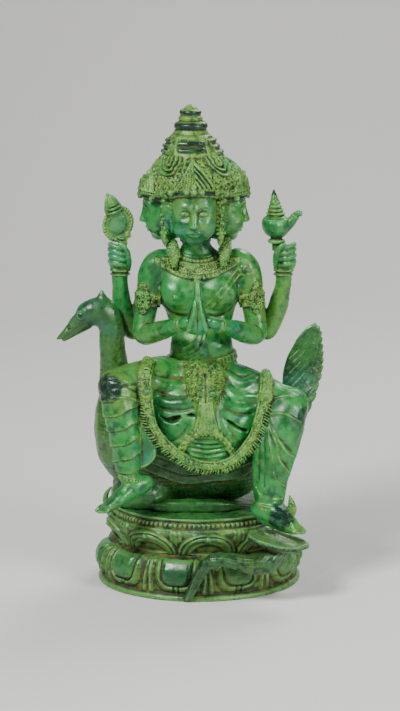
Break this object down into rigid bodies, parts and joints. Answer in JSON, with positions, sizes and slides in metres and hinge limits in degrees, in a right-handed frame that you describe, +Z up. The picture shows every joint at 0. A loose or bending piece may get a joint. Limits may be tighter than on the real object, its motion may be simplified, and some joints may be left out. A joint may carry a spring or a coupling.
{
  "type": "brahma statue",
  "caption": "Cast bronze statue of a four-armed deity with a tall crown, seated sideways on a goose that rests on a double-lotus base, with a green patina.",
  "frame": {"origin": "centre of the base's flat underside", "axes": "+Z up, -Y towards the viewer of the figure's front, +X to that viewer's right"},
  "size_m": [0.1687, 0.1261, 0.3],
  "materials": {
    "base_bronze": "dull green patina with brown in the recesses and worn dark edges",
    "goose_bronze": "teal green patina, satin",
    "figure_bronze": "bright green patina, satin, with pale worn highs and yellow-green ornament"
  },
  "bodies": {
    "root": {"lotus_base": "base_bronze", "goose": "goose_bronze", "brahma_figure": "figure_bronze"}
  },
  "joints": []
}
